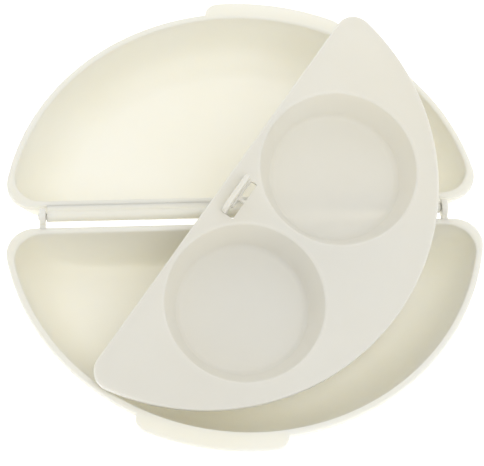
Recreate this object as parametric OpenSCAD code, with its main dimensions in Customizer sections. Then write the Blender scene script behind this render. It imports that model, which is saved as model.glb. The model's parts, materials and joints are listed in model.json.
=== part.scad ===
// Microwave omelette pan with a two-cup egg poacher insert.
// Two half-round pans share one hinge line and lie open on the table. The insert, a half-round
// plate with two egg cups, lies across both of them, propped on the hinge line.
// X runs along the hinge, Y from the base pan (-Y) to the lid pan (+Y), Z up from the table.

/* [Pans] */
// Width of the pans, across the ends of the hinge side
pan_w = 226; // [210:1:240]
// Height of one pan, from the table to the top of its rim
pan_h = 25; // [22:0.5:30]
// Thickness of a pan's wall and floor
wall_t = 2; // [1.6:0.1:2.4]
// How far the rim stands out past the wall
lip_w = 1.2; // [0.8:0.1:1.6]
// Height of the rim's outer band
lip_h = 4; // [3:0.5:5]
// Rounding of the corners at the ends of the hinge side
corner_r = 13; // [9:0.5:15]
// How far the curved wall slopes inwards from the rim to the floor
round_slope = 22; // [16:1:26]
// How far the straight wall slopes inwards from the rim to the floor
straight_slope = 9; // [6:0.5:12]

/* [Finger tabs] */
// How far a tab stands out past the rim
tab_reach = 6; // [5:0.5:8]
// Thickness of a tab
tab_t = 2.4; // [2:0.1:3]
// Where the long side of a tab ends, sideways from the middle
tab_long_end = 55; // [44:1:58]
// Where the short side of a tab ends, on the other side of the middle
tab_short_end = 15; // [12:1:24]

/* [Hinge] */
// Distance from the hinge axis to the straight side of each rim
rim_gap = 5.5; // [5.2:0.1:6.5]
// Gap between the two rims when the pan is shut
shut_gap = 0.3; // [0.3:0.05:0.5]
// Radius of the round barrel along the lid's straight side
barrel_r = 2.5; // [2.2:0.1:2.7]
// Length of the barrel
barrel_len = 185; // [182:1:190]
// Thickness of the web from the barrel to the lid's rim
web_t = 2.2; // [1.8:0.1:2.6]
// Radius of the stub pins at the barrel's ends
pin_r = 1.5; // [1.2:0.1:1.7]
// Running clearance around a pin
pin_gap = 0.08; // [0.05:0.01:0.1]
// Thickness of a hinge arm
arm_t = 2.9; // [2.4:0.1:3.2]
// Radius of a hinge arm's round end
arm_r = 4; // [3.6:0.1:4.4]

/* [Poacher insert] */
// Gap all round the insert when it sits in a pan
insert_gap = 0.8; // [0.6:0.1:1.5]
// Thickness of the insert's plate
plate_t = 1.8; // [1.5:0.1:2.2]
// Height of the rim that is turned down round the plate
skirt_h = 4; // [3:0.5:5]
// Thickness of the turned-down rim
skirt_t = 1.5; // [1.2:0.1:1.6]
// Rounding of the plate's two tips
tip_r = 9; // [7:0.5:12]
// Direction of the plate's straight side, turned from the hinge line
insert_turn = 54; // [50:0.5:60]
// Slope of the plate as it leans on the hinge line
insert_lean = 13; // [12:0.5:14]

/* [Egg cups] */
// Inside radius of a cup at its mouth
cup_mouth_r = 36.1; // [35:0.1:36.5]
// Inside radius of a cup's floor
cup_floor_r = 31.3; // [29:0.1:32]
// Inside depth of a cup
cup_depth = 16; // [14:0.5:17]
// Wall thickness of a cup
cup_t = 1.5; // [1.2:0.1:1.8]
// Distance between the centres of the cups
cup_spacing = 77.6; // [77:0.1:80]
// Distance from the plate's straight side to the centres of the cups
cup_setback = 39.3; // [39.2:0.1:40]

/* [Finger grip] */
// Length of the upright grip
grip_len = 20; // [16:1:22]
// Thickness of the grip
grip_t = 2.4; // [2:0.1:3]
// Height of the grip above the plate
grip_h = 9; // [6:0.5:12]
// Distance from the plate's straight side to the grip
grip_setback = 6.5; // [5.5:0.5:7.5]
// Width of the slot beside the grip
slot_w = 3; // [2.4:0.1:3.4]

/* [Hidden] */

pan_r = pan_w / 2;
axis_z = pan_h + shut_gap / 2;
rim_w = lip_w + wall_t;
floor_t = wall_t;
arm_gap = 0.5;
arm_x = barrel_len / 2 + arm_gap;
pin_len = arm_gap + arm_t + 0.6;
bore_r = pin_r + pin_gap;

insert_r = pan_r - rim_w - insert_gap;
insert_straight = rim_gap + rim_w + insert_gap;
// Where the centre of the plate's round edge lies, and its small sideways slope
insert_at = [-19.5, 6.5, pan_h + 25.6];
insert_roll = 2;

cup_lip_r = 1.5;
cup_floor_round = 3;
slot_gap = 1;
slot_bridge = 1.6;
slot_end_w = 4.5;

arc_steps = 60;
corner_steps = 6;
wall_steps = 8;

pan_colour = [0.94, 0.93, 0.86];
insert_colour = [0.89, 0.88, 0.84];

// ---- The half-round outline: a straight side at y = straight and a round side of radius r ----

function arc(centre, r, from, to, steps) =
    [for (i = [0:steps]) centre + r * [cos(from + (to - from) * i / steps),
                                       sin(from + (to - from) * i / steps)]];

function half_round(r, straight, corner) =
    let (centre_y = straight + corner,
         centre_x = sqrt(pow(r - corner, 2) - pow(centre_y, 2)),
         meet = atan2(centre_y, centre_x))
    concat(arc([centre_x, centre_y], corner, -90, meet, corner_steps),
           [for (i = [1:arc_steps - 1])
               let (a = meet + (180 - 2 * meet) * i / arc_steps)
               r * [cos(a), sin(a)]],
           arc([-centre_x, centre_y], corner, 180 - meet, 270, corner_steps));

// ---- Pans ----

// One level of a pan: the outline at height z, moved in from the rim's outer edge.
function level(round_inset, straight_inset, z) =
    [for (p = half_round(pan_r - round_inset, rim_gap + straight_inset, corner_r)) [p.x, p.y, z]];

// A bowl-shaped wall: it leaves the floor level and reaches the rim upright.
function wall_level(inset, low, high, turn) =
    level(inset + round_slope * (1 - sin(turn)), inset + straight_slope * (1 - sin(turn)),
          low + (high - low) * (1 - cos(turn)));

function pan_levels() =
    concat([for (i = [0:wall_steps]) wall_level(lip_w, 0, pan_h - lip_h, 90 * i / wall_steps)],
           [level(0, 0, pan_h - lip_h), level(0, 0, pan_h), level(rim_w, rim_w, pan_h)],
           [for (i = [wall_steps - 1:-1:0]) wall_level(rim_w, floor_t, pan_h, 90 * i / wall_steps)]);

// A closed solid through the levels in order, with a flat cap on the first and the last.
module loft(levels) {
    count = len(levels[0]);
    last = len(levels) - 1;
    sides = [for (k = [0:last - 1], i = [0:count - 1])
                let (j = (i + 1) % count, low = k * count, high = low + count)
                each [[low + i, high + i, high + j], [low + i, high + j, low + j]]];
    caps = [[for (i = [0:count - 1]) i], [for (i = [count - 1:-1:0]) last * count + i]];
    polyhedron(points = [for (l = levels) each l], faces = concat(sides, caps), convexity = 6);
}

module pan_shell() {
    loft(pan_levels());
}

// A finger tab in the plane of the rim, with slanted ends, cut to fit the rim's outer edge.
module pan_tab() {
    outer_r = pan_r + tab_reach;
    slant = tab_reach * 0.7;
    first = acos((tab_long_end - slant) / outer_r);
    last = acos((slant - tab_short_end) / outer_r);
    root = [for (x = [-tab_short_end, tab_long_end]) [x, sqrt(pow(pan_r - rim_w, 2) - x * x)]];
    translate([0, 0, pan_h - tab_t])
        linear_extrude(tab_t)
            difference() {
                polygon(concat(root, arc([0, 0], outer_r, first, last, arc_steps / 2)));
                polygon(half_round(pan_r, rim_gap, corner_r));
            }
}

module base_pan() {
    color(pan_colour) mirror([0, 1, 0]) pan_shell();
}

module base_tab() {
    color(pan_colour) rotate(180) pan_tab();
}

module lid_pan() {
    color(pan_colour) pan_shell();
}

module lid_tab() {
    color(pan_colour) pan_tab();
}

// ---- Hinge ----

// Places round parts of the hinge with their length along X, starting at x.
module along_hinge(x) {
    translate([x, 0, axis_z]) rotate([0, 90, 0]) children();
}

// An arm that stands out from the base pan's rim and carries one end of the barrel.
module hinge_arm(x) {
    color(pan_colour)
        difference() {
            union() {
                along_hinge(x) cylinder(h = arm_t, r = arm_r, $fn = 64);
                translate([x, -rim_gap, pan_h - lip_h]) cube([arm_t, rim_gap, lip_h]);
            }
            along_hinge(x - 1) cylinder(h = arm_t + 2, r = bore_r, $fn = 64);
        }
}

module left_hinge_arm() {
    hinge_arm(-arm_x - arm_t);
}

module right_hinge_arm() {
    hinge_arm(arm_x);
}

module lid_hinge_barrel() {
    color(pan_colour) {
        along_hinge(-barrel_len / 2) cylinder(h = barrel_len, r = barrel_r, $fn = 64);
        along_hinge(-barrel_len / 2 - pin_len) cylinder(h = barrel_len + 2 * pin_len, r = pin_r, $fn = 64);
        translate([-barrel_len / 2, 0, pan_h - web_t]) cube([barrel_len, rim_gap, web_t]);
    }
}

// ---- Poacher insert, modelled flat with its round side towards -Y and its plate's top at z = 0 ----

module insert_pose() {
    translate(insert_at) rotate([insert_lean, insert_roll, 0]) rotate(insert_turn) children();
}

module insert_outline(inset) {
    mirror([0, 1]) polygon(half_round(insert_r - inset, insert_straight + inset, tip_r - inset));
}

// Positions a child at a distance behind the plate's straight side.
module behind_straight(along, setback) {
    translate([along, -insert_straight - setback, 0]) children();
}

// Two slots beside the grip, split by a narrow bridge; the lower one widens towards the grip at its end.
module plate_slots() {
    slot_at = grip_setback + grip_t + slot_gap;
    half = (grip_len - slot_bridge) / 2;
    for (side = [-1, 1])
        behind_straight(side * (half + slot_bridge) / 2, slot_at + slot_w / 2)
            cube([half, slot_w, 3 * plate_t], center = true);
    behind_straight((slot_end_w - grip_len) / 2, slot_at + (slot_w - slot_gap) / 2)
        cube([slot_end_w, slot_w + slot_gap, 3 * plate_t], center = true);
}

module insert_plate() {
    color(insert_colour)
        insert_pose()
            difference() {
                translate([0, 0, -skirt_h]) linear_extrude(skirt_h) insert_outline(0);
                translate([0, 0, -skirt_h - 1])
                    linear_extrude(skirt_h + 1 - plate_t)
                        insert_outline(skirt_t);
                for (side = [-1, 1])
                    behind_straight(side * cup_spacing / 2, cup_setback)
                        cylinder(h = 3 * skirt_h, r = cup_mouth_r + cup_lip_r, center = true, $fn = 96);
                plate_slots();
            }
}

// A straight-sided cup with a rounded mouth and a rounded floor edge.
module egg_cup(side) {
    flange_r = cup_mouth_r + cup_lip_r;
    inner_foot = arc([cup_floor_r - cup_floor_round, -cup_depth + cup_floor_round],
                     cup_floor_round, -90, 0, 6);
    mouth = arc([flange_r, -cup_lip_r], cup_lip_r, 180, 90, 6);
    outer_foot = arc([cup_floor_r - cup_floor_round, -cup_depth + cup_floor_round],
                     cup_floor_round + cup_t, 0, -90, 6);
    color(insert_colour)
        insert_pose()
            behind_straight(side * cup_spacing / 2, cup_setback)
                rotate_extrude($fn = 96)
                    polygon(concat([[0, -cup_depth]], inner_foot, mouth,
                                   [[flange_r, -plate_t], [cup_mouth_r + cup_t, -plate_t - cup_t]],
                                   outer_foot, [[0, -cup_depth - cup_t]]));
}

module near_egg_cup() {
    egg_cup(-1);
}

module far_egg_cup() {
    egg_cup(1);
}

module insert_grip() {
    round_r = grip_h / 2;
    color(insert_colour)
        insert_pose()
            behind_straight(0, grip_setback)
                rotate([90, 0, 0])
                    linear_extrude(grip_t)
                        polygon(concat([[-grip_len / 2, 0], [grip_len / 2, 0]],
                                       arc([grip_len / 2 - round_r, grip_h - round_r], round_r, 0, 90, 8),
                                       arc([round_r - grip_len / 2, grip_h - round_r],
                                           round_r, 90, 180, 8)));
}

base_pan();
base_tab();
left_hinge_arm();
right_hinge_arm();
lid_pan();
lid_tab();
lid_hinge_barrel();
insert_plate();
near_egg_cup();
far_egg_cup();
insert_grip();
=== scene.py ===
"""The looks of the microwave omelette pan: two hinged half-round pans and a poacher insert."""

import json
from math import acos, asin, atan2, cos, pi, radians, sin, sqrt

import bmesh
import bpy
from mathutils import Euler, Matrix, Vector


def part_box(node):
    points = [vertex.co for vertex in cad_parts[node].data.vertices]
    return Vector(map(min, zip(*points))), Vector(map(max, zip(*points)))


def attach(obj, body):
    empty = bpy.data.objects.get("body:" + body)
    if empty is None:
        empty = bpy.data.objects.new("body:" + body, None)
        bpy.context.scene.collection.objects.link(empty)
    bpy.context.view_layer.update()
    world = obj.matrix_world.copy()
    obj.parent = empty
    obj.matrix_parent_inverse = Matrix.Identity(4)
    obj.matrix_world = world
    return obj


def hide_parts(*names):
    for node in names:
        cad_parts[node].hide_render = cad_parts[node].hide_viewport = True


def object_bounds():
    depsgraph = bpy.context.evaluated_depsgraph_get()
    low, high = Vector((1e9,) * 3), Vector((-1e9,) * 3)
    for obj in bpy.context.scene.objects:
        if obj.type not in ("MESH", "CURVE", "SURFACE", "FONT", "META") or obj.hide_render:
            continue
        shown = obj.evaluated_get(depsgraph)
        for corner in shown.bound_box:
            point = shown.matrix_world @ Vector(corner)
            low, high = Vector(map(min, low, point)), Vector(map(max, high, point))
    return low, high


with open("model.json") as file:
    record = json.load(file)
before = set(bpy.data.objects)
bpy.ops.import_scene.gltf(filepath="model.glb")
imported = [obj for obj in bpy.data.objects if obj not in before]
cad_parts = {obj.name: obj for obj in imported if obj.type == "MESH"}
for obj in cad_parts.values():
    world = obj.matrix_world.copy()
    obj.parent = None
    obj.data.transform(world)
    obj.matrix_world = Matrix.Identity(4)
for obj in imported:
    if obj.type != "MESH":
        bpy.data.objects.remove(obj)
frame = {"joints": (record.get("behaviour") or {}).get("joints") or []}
cad_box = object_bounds()

MM = 0.001

# ---- Sizes that follow from the CAD nodes ----

PAN_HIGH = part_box("lid_pan")[1]
PAN_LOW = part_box("lid_pan")[0]
PAN_R = PAN_HIGH.y                          # the round side is a circle about the hinge line's middle
PAN_H = PAN_HIGH.z
RIM_GAP = PAN_LOW.y                         # hinge axis to the straight side of a rim
TAB_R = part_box("lid_tab")[1].y
TAB_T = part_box("lid_tab")[1].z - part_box("lid_tab")[0].z
TAB_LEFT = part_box("lid_tab")[0].x
TAB_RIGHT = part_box("lid_tab")[1].x
ARM_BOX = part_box("right_hinge_arm")
AXIS = Vector(frame["joints"][0]["pos_m"])

# ---- Sizes of the pans, as in the CAD model ----

WALL_T = 2 * MM
LIP_W = 1.2 * MM
LIP_H = 4 * MM
RIM_W = LIP_W + WALL_T
CORNER_R = 13 * MM
ROUND_SLOPE = 22 * MM
STRAIGHT_SLOPE = 9 * MM
RIM_ROUND = 1.1 * MM
RIM_SHOULDER = 0.3 * MM                     # past the rim's outer rounding, where a tab's flat top ends
BAND_ROUND = 0.35 * MM
TAB_ROUND = 0.5 * MM
TAB_ROOT_DROP = 0.2 * MM                    # the band stays plain to this far under the tab

# ---- Sizes of the insert, as in the CAD model ----

INSERT_GAP = 0.8 * MM                       # all round the insert when it sits inside a pan
INSERT_R = PAN_R - RIM_W - INSERT_GAP
INSERT_STRAIGHT = RIM_GAP + RIM_W + INSERT_GAP
INSERT_AT = Vector((-19.5, 6.5, 50.6)) * MM
INSERT_TURN = radians(54)
INSERT_LEAN = radians(13)
INSERT_ROLL = radians(2)
TIP_R = 9 * MM
PLATE_T = 1.8 * MM
SKIRT_H = 4 * MM
SKIRT_T = 1.5 * MM
SKIRT_ROUND = 0.45 * MM
EDGE_ROUND = 0.7 * MM
CUP_MOUTH_R = 36.1 * MM
CUP_FLOOR_R = 31.3 * MM
CUP_DEPTH = 16 * MM
CUP_T = 1.5 * MM
CUP_LIP_R = 1.5 * MM
CUP_FLOOR_ROUND = 3 * MM
CUP_ALONG = 38.8 * MM                       # a cup's centre, along the straight side from its middle
CUP_SETBACK = 39.3 * MM                     # a cup's centre, behind the straight side
GRIP_LEN = 20 * MM
GRIP_T = 2.4 * MM
GRIP_H = 9 * MM
GRIP_SETBACK = 6.5 * MM
GRIP_ROUND = 0.7 * MM
GRIP_SUNK = 0.3 * MM                        # how far its foot reaches into the plate
SLOT_W = 3 * MM
SLOT_GAP = 1 * MM
SLOT_BRIDGE = 1.6 * MM
SLOT_END_W = 4.5 * MM
SLOT_CORNER = 0.6 * MM
SLOT_ROUND = 0.3 * MM

# ---- Sizes of the tabs and the hinge ----

TAB_END_W = 8 * MM                          # length of the curve at each end of a finger tab
PIN_R = 1.5 * MM
PIN_GAP = 0.08 * MM
PIN_ROUND = 0.3 * MM
BARREL_R = 2.5 * MM
BARREL_GAP = 0.5 * MM                       # from each end of the barrel to its hinge arm
WEB_FILLET = 1.2 * MM
WEB_DROP = 0.15 * MM                        # the web's faces lie this far inside the rim and barrel
ARM_DROP = 0.1 * MM                         # the arm's root lies this far under the rim's top
HINGE_ROUND = 0.4 * MM

# ---- How finely curves are drawn ----

ARC_STEPS = 150
STRAIGHT_STEPS = 60
CORNER_STEPS = 10
WALL_STEPS = 18
TAB_END_STEPS = 10
CUP_STEPS = 96
RIM_STEPS = 5
BEND_STEPS = 5
SHORT_STEPS = 8
CUP_WALL_STEPS = 6
HINGE_STEPS = 40
PIN_STEPS = 32
GRIP_STEPS = 12
PAN_FLOOR_RINGS = 8
CUP_FLOOR_RINGS = 10

# ---- Colours and surfaces ----

PAN_PALE = (0.92, 0.9, 0.812)
PAN_DEEP = (0.905, 0.88, 0.78)
PAN_ROUGHNESS = 0.34
INSERT_PALE = (0.85, 0.825, 0.74)
INSERT_DEEP = (0.835, 0.805, 0.715)
INSERT_ROUGHNESS = 0.42
TRANSLUCENCY = 0.7
FLOOR_GREY = 0.92

# ---- Camera and light ----

CAMERA_AZIMUTH = radians(-8.8)
CAMERA_ELEVATION = radians(61.5)
CAMERA_DISTANCE = 0.846
CAMERA_LENS = 134
CAMERA_TURN = (radians(-0.66), radians(0.09), radians(6.4))     # tilt, pan and roll
WORLD_LIGHT = 0.68
OVERHEAD_LIGHT = 3.6
REAR_LIGHT = 0.6
FLOOR_GLOW = 0.6                            # whitens the floor and lights the plastic from below
FLOOR_DROP = 0.2 * MM                       # the floor lies this far under the pans


# ---- Outlines and meshes ----

def arc(centre, r, start, end, steps):
    """Points on a circle from one angle to the other, both ends included."""
    angles = [start + (end - start) * i / steps for i in range(steps + 1)]
    return [(centre[0] + r * cos(a), centre[1] + r * sin(a)) for a in angles]


def straight_run(start, end, steps):
    """Points between start and end, both ends left out."""
    return [(start[0] + (end[0] - start[0]) * i / steps, start[1] + (end[1] - start[1]) * i / steps)
            for i in range(1, steps)]


def corner_centre(r, straight, corner):
    """Centre of the right corner's arc, which touches the straight side and the round side."""
    y = straight + corner
    return sqrt((r - corner) ** 2 - y ** 2), y


def half_round(r, straight, corner, stations):
    """A closed outline: a straight side at y = straight and a round side of radius r about the origin.

    stations are (share of the way round, extra radius) for the round side.
    """
    cx, cy = corner_centre(r, straight, corner)
    meet = atan2(cy, cx)
    right = arc((cx, cy), corner, -pi / 2, meet, CORNER_STEPS)
    left = arc((-cx, cy), corner, pi - meet, 3 * pi / 2, CORNER_STEPS)
    angles = [(meet + (pi - 2 * meet) * share, extra) for share, extra in stations]
    round_side = [((r + extra) * cos(a), (r + extra) * sin(a)) for a, extra in angles]
    return right + round_side + left + straight_run(left[-1], right[0], STRAIGHT_STEPS)


def inset_loop(loop, distance):
    """The closed loop moved inwards by a small distance; loops run anticlockwise."""
    moved = []
    for i, here in enumerate(loop):
        before = Vector(loop[i - 1])
        after = Vector(loop[(i + 1) % len(loop)])
        point = Vector(here)
        a = (point - before).normalized()
        b = (after - point).normalized()
        normal = (Vector((-a.y, a.x)) + Vector((-b.y, b.x))).normalized()
        stretch = max(0.5, normal.dot(Vector((-a.y, a.x))))
        moved.append(tuple(point + normal * distance / stretch))
    return moved


class Shell:
    """Collects rings of points and joins them into one closed mesh."""

    def __init__(self):
        self.bm = bmesh.new()

    def ring(self, loop, z):
        return [self.bm.verts.new((x, y, z)) for x, y in loop]

    def join(self, lower, upper):
        count = len(lower)
        for i in range(count):
            j = (i + 1) % count
            self.bm.faces.new((lower[i], lower[j], upper[j], upper[i]))

    def join_all(self, rings):
        for lower, upper in zip(rings, rings[1:]):
            self.join(lower, upper)

    def fill(self, *rings):
        """A flat face inside the first ring and outside the others."""
        edges = []
        for ring in rings:
            for i, vert in enumerate(ring):
                ends = (vert, ring[(i + 1) % len(ring)])
                edges.append(self.bm.edges.get(ends) or self.bm.edges.new(ends))
        bmesh.ops.triangle_fill(self.bm, use_beauty=True, use_dissolve=False, edges=edges)

    def close_disc(self, ring, steps):
        """Closes a ring with smaller rings and a last small face, for an even mesh."""
        centre = sum((v.co for v in ring), Vector()) / len(ring)
        inner = ring
        for k in range(1, steps):
            share = 1 - k / steps
            smaller = [self.bm.verts.new(centre + (v.co - centre) * share) for v in ring]
            self.join(inner, smaller)
            inner = smaller
        self.bm.faces.new(inner)

    def finish(self, name, material, smooth_angle=35):
        bmesh.ops.recalc_face_normals(self.bm, faces=self.bm.faces)
        mesh = bpy.data.meshes.new(name)
        self.bm.to_mesh(mesh)
        self.bm.free()
        mesh.shade_smooth()
        mesh.set_sharp_from_angle(angle=radians(smooth_angle))
        mesh.materials.append(material)
        piece = bpy.data.objects.new(name, mesh)
        bpy.context.scene.collection.objects.link(piece)
        weighted = piece.modifiers.new("flat faces stay flat", "WEIGHTED_NORMAL")
        weighted.keep_sharp = True
        return piece


def rounded_edge(r, z_from, z_to, steps=4):
    """(inset, z) along a quarter round that starts flat at inset r and ends upright at inset 0."""
    turns = [pi / 2 * i / steps for i in range(steps + 1)]
    return [(r * (1 - sin(t)), z_from + (z_to - z_from) * (1 - cos(t))) for t in turns]


def rounded_prism(name, outline, holes, low, high, edge_r, material):
    """A flat piece from z = low to z = high with rounded edges, inside outline and outside holes."""
    shell = Shell()
    side = rounded_edge(edge_r, low, low + edge_r) + rounded_edge(edge_r, high, high - edge_r)[::-1]
    tops = []
    bottoms = []
    for loop, sign in [(outline, 1)] + [(hole, -1) for hole in holes]:
        rings = [shell.ring(inset_loop(loop, sign * inset), z) for inset, z in side]
        shell.join_all(rings)
        bottoms.append(rings[0])
        tops.append(rings[-1])
    shell.fill(*bottoms)
    shell.fill(*tops)
    return shell.finish(name, material)


# ---- Materials ----

def shader_nodes(name):
    material = bpy.data.materials.new(name)
    material.use_nodes = True
    tree = material.node_tree
    return material, tree, tree.nodes["Principled BSDF"]


def noise(tree, coordinates, scale, detail, roughness=0.5):
    node = tree.nodes.new("ShaderNodeTexNoise")
    node.inputs["Scale"].default_value = scale
    node.inputs["Detail"].default_value = detail
    node.inputs["Roughness"].default_value = roughness
    tree.links.new(coordinates, node.inputs["Vector"])
    return node.outputs["Fac"]


def spread(tree, value, low, high):
    """Maps noise, which stays near 0.5, to the range from low to high."""
    node = tree.nodes.new("ShaderNodeMapRange")
    node.inputs["From Min"].default_value = 0.3
    node.inputs["From Max"].default_value = 0.7
    node.inputs["To Min"].default_value = low
    node.inputs["To Max"].default_value = high
    tree.links.new(value, node.inputs["Value"])
    return node.outputs["Result"]


def moulded_plastic(name, pale, deep, roughness, translucency):
    """Ivory polypropylene: cloudy colour, uneven gloss, a faint moulded texture and light inside it."""
    material, tree, shader = shader_nodes(name)
    place = tree.nodes.new("ShaderNodeTexCoord").outputs["Object"]
    colour = tree.nodes.new("ShaderNodeValToRGB")
    colour.color_ramp.elements[0].position = 0.35
    colour.color_ramp.elements[0].color = (*deep, 1)
    colour.color_ramp.elements[1].position = 0.65
    colour.color_ramp.elements[1].color = (*pale, 1)
    tree.links.new(noise(tree, place, 14, 3), colour.inputs["Fac"])
    tree.links.new(colour.outputs["Color"], shader.inputs["Base Color"])
    gloss = spread(tree, noise(tree, place, 45, 5, 0.6), roughness - 0.04, roughness + 0.05)
    tree.links.new(gloss, shader.inputs["Roughness"])
    grain = tree.nodes.new("ShaderNodeBump")
    grain.inputs["Strength"].default_value = 0.12
    grain.inputs["Distance"].default_value = 0.00025
    tree.links.new(noise(tree, place, 1400, 3), grain.inputs["Height"])
    waves = tree.nodes.new("ShaderNodeBump")
    waves.inputs["Strength"].default_value = 0.25
    waves.inputs["Distance"].default_value = 0.0006
    tree.links.new(noise(tree, place, 28, 2), waves.inputs["Height"])
    tree.links.new(grain.outputs["Normal"], waves.inputs["Normal"])
    tree.links.new(waves.outputs["Normal"], shader.inputs["Normal"])
    shader.inputs["IOR"].default_value = 1.49
    shader.inputs["Subsurface Weight"].default_value = translucency
    shader.inputs["Subsurface Radius"].default_value = (1.0, 0.95, 0.85)
    shader.inputs["Subsurface Scale"].default_value = 0.004
    return material


def floor_material():
    material, tree, shader = shader_nodes("floor_white")
    place = tree.nodes.new("ShaderNodeTexCoord").outputs["Object"]
    gloss = spread(tree, noise(tree, place, 30, 2), 0.85, 0.95)
    tree.links.new(gloss, shader.inputs["Roughness"])
    shader.inputs["Base Color"].default_value = (FLOOR_GREY, FLOOR_GREY, FLOOR_GREY, 1)
    shader.inputs["Emission Color"].default_value = (1, 1, 1, 1)
    shader.inputs["Emission Strength"].default_value = FLOOR_GLOW
    return material


# ---- Pans ----

def tab_share(x):
    """How far round the rim's arc the tab's end at x lies."""
    cx, cy = corner_centre(PAN_R, RIM_GAP, CORNER_R)
    meet = atan2(cy, cx)
    return (acos(x / PAN_R) - meet) / (pi - 2 * meet)


def pan_stations():
    """Places round the rim's arc, with the finger tab's reach; its ends are quarter rounds."""
    first = tab_share(TAB_RIGHT)
    last = tab_share(TAB_LEFT)
    end_width = TAB_END_W / (PAN_R * pi)
    reach = TAB_R - PAN_R
    turns = [pi / 2 * i / TAB_END_STEPS for i in range(TAB_END_STEPS + 1)]
    rise = [(first + end_width * (1 - cos(t)), reach * sin(t)) for t in turns]
    fall = [(last - end_width * (1 - cos(t)), reach * sin(t)) for t in reversed(turns)]
    before = [(share, 0.0) for share in even_shares(0, first)]
    middle = [(share, reach) for share in even_shares(rise[-1][0], fall[0][0])]
    after = [(share, 0.0) for share in even_shares(last, 1)]
    return before + rise + middle + fall + after


def even_shares(start, end):
    """Evenly spaced shares strictly between start and end."""
    steps = max(2, round((end - start) * ARC_STEPS))
    return [start + (end - start) * i / steps for i in range(1, steps)]


def bowl(inset, low, high):
    """(round inset, straight inset, z, tab) up a wall that leaves the floor level and ends upright."""
    levels = []
    for i in range(WALL_STEPS + 1):
        turn = pi / 2 * i / WALL_STEPS
        slope = 1 - sin(turn)
        z = low + (high - low) * (1 - cos(turn))
        levels.append((inset + ROUND_SLOPE * slope, inset + STRAIGHT_SLOPE * slope, z, 0.0))
    return levels


def rim_levels():
    """The rim's outer band, the tab's underside and edge, and the rounded top of the rim."""
    band_low = PAN_H - LIP_H
    tab_low = PAN_H - TAB_T
    turns = [pi / 2 * i / RIM_STEPS for i in range(RIM_STEPS + 1)]
    levels = [(BAND_ROUND, band_low, 0.0), (0.0, band_low + BAND_ROUND, 0.0)]
    levels += [(0.0, tab_low - TAB_ROOT_DROP, 0.0)]
    levels += [(TAB_ROUND * (1 - sin(t)), tab_low + TAB_ROUND * (1 - cos(t)), 1.0) for t in turns]
    levels += [(RIM_ROUND * (1 - cos(t)), PAN_H - RIM_ROUND * (1 - sin(t)), 1.0) for t in turns]
    levels += [(RIM_ROUND + RIM_SHOULDER, PAN_H, 0.0)]
    levels += [(RIM_W - RIM_ROUND * (1 - sin(t)), PAN_H - RIM_ROUND * (1 - cos(t)), 0.0) for t in turns]
    return [(inset, inset, z, tab) for inset, z, tab in levels]


def pan(name, body, turn, material, replaced):
    """One pan with its finger tab. turn is its turn about Z from the lid pan's place."""
    stations = pan_stations()
    wall_out = bowl(LIP_W, 0.0, PAN_H - LIP_H)
    wall_in = bowl(RIM_W, WALL_T, PAN_H - RIM_ROUND)[-2::-1]
    shell = Shell()
    rings = []
    for round_inset, straight_inset, z, tab in wall_out + rim_levels() + wall_in:
        reached = [(share, extra * tab) for share, extra in stations]
        loop = half_round(PAN_R - round_inset, RIM_GAP + straight_inset, CORNER_R, reached)
        rings.append(shell.ring(loop, z))
    shell.join_all(rings)
    shell.close_disc(rings[0], PAN_FLOOR_RINGS)
    shell.close_disc(rings[-1], PAN_FLOOR_RINGS)
    piece = shell.finish(name, material, smooth_angle=60)
    piece.data.transform(Matrix.Rotation(turn, 4, "Z"))
    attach(piece, body)
    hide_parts(*replaced)


# ---- Hinge ----

def stand_along_x(piece, x, axis_at):
    """Turns a flat piece, drawn in (y, z) and built along its own z, so that it runs along X from x."""
    columns = Matrix(((0, 0, 1), (1, 0, 0), (0, 1, 0))).to_4x4()
    piece.data.transform(Matrix.Translation((x, axis_at.y, axis_at.z)) @ columns)


def arm_outline():
    """Side view of a hinge arm, from the rim of the base pan to the round end about the hinge axis."""
    box_low, box_high = ARM_BOX
    end_r = box_high.y
    root_y = box_low.y - LIP_W
    high = PAN_H - ARM_DROP - AXIS.z
    low_root = (root_y, -end_r)
    round_end = arc((0, 0), end_r, -pi / 2, pi - asin(high / end_r), HINGE_STEPS)
    underside = straight_run(low_root, round_end[0], SHORT_STEPS)
    return [(root_y, high), low_root] + underside + round_end


def circle(r, steps, centre=(0.0, 0.0)):
    return arc(centre, r, 0, 2 * pi, steps)[:-1]


def hinge_arm(name, node, material):
    box_low, box_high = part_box(node)
    bore = circle(PIN_R + PIN_GAP, PIN_STEPS)
    width = box_high.x - box_low.x
    piece = rounded_prism(name, arm_outline(), [bore], 0.0, width, HINGE_ROUND, material)
    stand_along_x(piece, box_low.x, AXIS)
    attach(piece, "base")
    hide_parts(node)


def barrel_outline():
    """End view of the lid's hinge barrel, with the web that joins it to the lid's rim."""
    top = PAN_H - WEB_DROP - AXIS.z
    bottom = -BARREL_R + WEB_DROP
    fillet_y = sqrt((BARREL_R + WEB_FILLET) ** 2 - (top + WEB_FILLET) ** 2)
    touch = atan2(top + WEB_FILLET, fillet_y)
    root_y = RIM_GAP + LIP_W
    fillet = arc((fillet_y, top + WEB_FILLET), WEB_FILLET, -pi / 2, touch - pi, SHORT_STEPS)
    round_side = arc((0, 0), BARREL_R, touch, 3 * pi / 2, HINGE_STEPS)[1:]
    return [(root_y, bottom), (root_y, top)] + fillet + round_side


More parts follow.
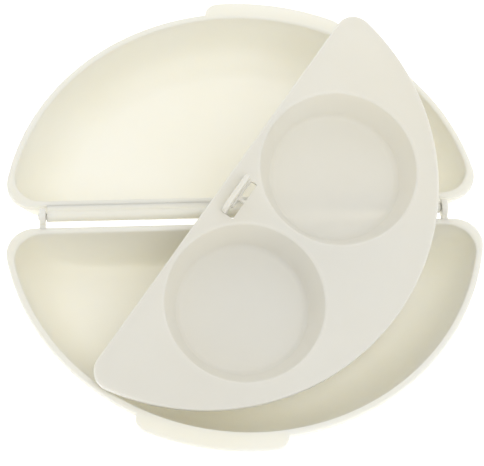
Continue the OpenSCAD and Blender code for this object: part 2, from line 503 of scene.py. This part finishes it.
def hinge_barrel(material):
    box_low, box_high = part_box("lid_hinge_barrel")
    length = 2 * (ARM_BOX[0].x - BARREL_GAP)
    barrel = rounded_prism("hinge_barrel", barrel_outline(), [], 0.0, length, HINGE_ROUND, material)
    stand_along_x(barrel, -length / 2, AXIS)
    pin_length = box_high.x - box_low.x
    pin = circle(PIN_R, PIN_STEPS)
    pins = rounded_prism("hinge_pins", pin, [], 0.0, pin_length, PIN_ROUND, material)
    stand_along_x(pins, box_low.x, AXIS)
    for piece in (barrel, pins):
        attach(piece, "lid")
        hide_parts("lid_hinge_barrel")


# ---- Poacher insert, built flat with its round side towards -Y and its top at z = 0 ----

def insert_place():
    lean = Euler((INSERT_LEAN, INSERT_ROLL, 0)).to_matrix().to_4x4()
    return Matrix.Translation(INSERT_AT) @ lean @ Matrix.Rotation(INSERT_TURN, 4, "Z")


def insert_loop(inset):
    stations = [(share, 0.0) for share in even_shares(0, 1)]
    loop = half_round(INSERT_R - inset, INSERT_STRAIGHT + inset, TIP_R - inset, stations)
    return [(-x, -y) for x, y in loop]


def behind_straight(along, setback):
    return along, -INSERT_STRAIGHT - setback


def rounded_corners(points, r):
    """The closed outline with each corner, inward or outward, replaced by a smooth bend."""
    loop = []
    for i, corner in enumerate(points):
        here = Vector(corner)
        start = here + (Vector(points[i - 1]) - here).normalized() * r
        end = here + (Vector(points[(i + 1) % len(points)]) - here).normalized() * r
        for k in range(BEND_STEPS + 1):
            t = k / BEND_STEPS
            loop.append(tuple(start * (1 - t) ** 2 + here * 2 * t * (1 - t) + end * t ** 2))
    return loop


def slot_loops():
    """Two slots beside the grip; the lower one widens towards the grip at its end."""
    near = GRIP_SETBACK + GRIP_T + SLOT_GAP
    far = near + SLOT_W
    half = GRIP_LEN / 2
    bridge = SLOT_BRIDGE / 2
    wide = GRIP_SETBACK + GRIP_T
    step = SLOT_END_W - half
    upper = [(bridge, far), (half, far), (half, near), (bridge, near)]
    lower = [(-half, far), (-bridge, far), (-bridge, near), (step, near), (step, wide), (-half, wide)]
    placed = [[behind_straight(*point) for point in slot] for slot in (upper, lower)]
    return [rounded_corners(slot, SLOT_CORNER) for slot in placed]


def cup_centres():
    return [behind_straight(side * CUP_ALONG, CUP_SETBACK) for side in (-1, 1)]


def cup_inner_levels():
    """(radius, z) from the flat of the plate over the rounded mouth and down to the floor's edge."""
    flange_r = CUP_MOUTH_R + CUP_LIP_R
    foot_centre = (CUP_FLOOR_R - CUP_FLOOR_ROUND, CUP_FLOOR_ROUND - CUP_DEPTH)
    mouth = arc((flange_r, -CUP_LIP_R), CUP_LIP_R, pi / 2, pi, SHORT_STEPS)
    foot = arc(foot_centre, CUP_FLOOR_ROUND, 0, -pi / 2, SHORT_STEPS)
    return mouth + straight_run(mouth[-1], foot[0], CUP_WALL_STEPS) + foot


def cup_outer_levels():
    """(radius, z) from the underside of the plate down to the edge of the cup's underside."""
    round_r = CUP_FLOOR_ROUND + CUP_T
    top = [(CUP_MOUTH_R + CUP_T, -PLATE_T), (CUP_MOUTH_R + CUP_T, -PLATE_T - CUP_T)]
    foot_centre = (CUP_FLOOR_R - CUP_FLOOR_ROUND, CUP_FLOOR_ROUND - CUP_DEPTH)
    foot = arc(foot_centre, round_r, 0, -pi / 2, SHORT_STEPS)
    return top + straight_run(top[-1], foot[0], CUP_WALL_STEPS) + foot


def insert_edge_levels():
    """(inset, z) over the plate's rounded edge, down the turned-down rim, under it and up inside."""
    outside = rounded_edge(EDGE_ROUND, 0.0, -EDGE_ROUND)
    foot = rounded_edge(SKIRT_ROUND, -SKIRT_H, SKIRT_ROUND - SKIRT_H)
    inside = [(SKIRT_T - inset, z) for inset, z in foot]
    return outside + foot[::-1] + inside + [(SKIRT_T, -PLATE_T)]


def poacher_insert(material):
    """The plate, its turned-down rim, both cups and the slots, as one closed skin."""
    shell = Shell()
    edge = [shell.ring(insert_loop(inset), z) for inset, z in insert_edge_levels()]
    shell.join_all(edge)
    tops = [edge[0]]
    undersides = [edge[-1]]
    for centre in cup_centres():
        inner = [shell.ring(circle(r, CUP_STEPS, centre), z) for r, z in cup_inner_levels()]
        outer = [shell.ring(circle(r, CUP_STEPS, centre), z) for r, z in cup_outer_levels()]
        for rings in (inner, outer):
            shell.join_all(rings)
            shell.close_disc(rings[-1], CUP_FLOOR_RINGS)
        tops.append(inner[0])
        undersides.append(outer[0])
    for loop in slot_loops():
        side = rounded_edge(SLOT_ROUND, 0.0, -SLOT_ROUND) + [(0.0, -PLATE_T)]
        rings = [shell.ring(inset_loop(loop, -inset), z) for inset, z in side]
        shell.join_all(rings)
        tops.append(rings[0])
        undersides.append(rings[-1])
    shell.fill(*tops)
    shell.fill(*undersides)
    piece = shell.finish("poacher_insert", material)
    piece.data.transform(insert_place())
    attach(piece, "insert")
    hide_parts("insert_plate", "near_egg_cup", "far_egg_cup")


def insert_grip(material):
    round_r = GRIP_H / 2
    half = GRIP_LEN / 2
    outline = [(-half, -GRIP_SUNK), (half, -GRIP_SUNK)]
    outline += arc((half - round_r, GRIP_H - round_r), round_r, 0, pi / 2, GRIP_STEPS)
    outline += arc((round_r - half, GRIP_H - round_r), round_r, pi / 2, pi, GRIP_STEPS)
    grip = rounded_prism("finger_grip", outline, [], 0.0, GRIP_T, GRIP_ROUND, material)
    foot = Matrix.Translation((0, -INSERT_STRAIGHT - GRIP_SETBACK, 0))
    stand = foot @ Matrix.Rotation(pi / 2, 4, "X")
    grip.data.transform(insert_place() @ stand)
    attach(grip, "insert")
    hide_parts("insert_grip")


# ---- Floor, lights and camera ----

def floor(material):
    bm = bmesh.new()
    bmesh.ops.create_grid(bm, x_segments=8, y_segments=8, size=3.0)
    mesh = bpy.data.meshes.new("floor")
    bm.to_mesh(mesh)
    bm.free()
    mesh.materials.append(material)
    plane = bpy.data.objects.new("floor", mesh)
    plane.location.z = cad_box[0].z - FLOOR_DROP
    bpy.context.scene.collection.objects.link(plane)


def area_light(name, at, aim, size, power):
    data = bpy.data.lights.new(name, "AREA")
    data.shape = "RECTANGLE"
    data.size, data.size_y = size
    data.energy = power
    light = bpy.data.objects.new(name, data)
    light.location = at
    light.rotation_euler = (Vector(aim) - Vector(at)).to_track_quat("-Z", "Y").to_euler()
    bpy.context.scene.collection.objects.link(light)


def studio_lights():
    """Even light from all round, a large soft light high in front and a closer one behind the lid."""
    world = bpy.data.worlds.new("studio")
    world.use_nodes = True
    world.node_tree.nodes["Background"].inputs["Color"].default_value = (1, 1, 1, 1)
    world.node_tree.nodes["Background"].inputs["Strength"].default_value = WORLD_LIGHT
    bpy.context.scene.world = world
    area_light("overhead", (0.25, -0.55, 1.2), (0, 0, 0), (1.0, 1.0), OVERHEAD_LIGHT)
    area_light("behind_lid", (0.05, 0.5, 0.55), (0, 0, 0), (0.9, 0.35), REAR_LIGHT)


def photo_camera():
    """Looks down at the middle of the hinge line from the base pan's side."""
    data = bpy.data.cameras.new("camera")
    data.lens = CAMERA_LENS
    data.clip_end = 20
    camera = bpy.data.objects.new("camera", data)
    level = cos(CAMERA_ELEVATION)
    back = Vector((level * sin(CAMERA_AZIMUTH), -level * cos(CAMERA_AZIMUTH), sin(CAMERA_ELEVATION)))
    camera.location = Vector((0, 0, PAN_H)) + back * CAMERA_DISTANCE
    facing = back.to_track_quat("Z", "Y").to_matrix()
    camera.rotation_euler = (facing @ Euler(CAMERA_TURN).to_matrix()).to_euler()
    bpy.context.scene.collection.objects.link(camera)
    bpy.context.scene.camera = camera


pan_plastic = moulded_plastic("pan_plastic", PAN_PALE, PAN_DEEP, PAN_ROUGHNESS, TRANSLUCENCY)
insert_plastic = moulded_plastic(
    "insert_plastic", INSERT_PALE, INSERT_DEEP, INSERT_ROUGHNESS, TRANSLUCENCY)

pan("base_pan_shell", "base", pi, pan_plastic, ["base_pan", "base_tab"])
pan("lid_pan_shell", "lid", 0.0, pan_plastic, ["lid_pan", "lid_tab"])
hinge_arm("hinge_arm_left", "left_hinge_arm", pan_plastic)
hinge_arm("hinge_arm_right", "right_hinge_arm", pan_plastic)
hinge_barrel(pan_plastic)
poacher_insert(insert_plastic)
insert_grip(insert_plastic)
floor(floor_material())
studio_lights()
photo_camera()
bpy.context.scene.view_settings.view_transform = "Standard"
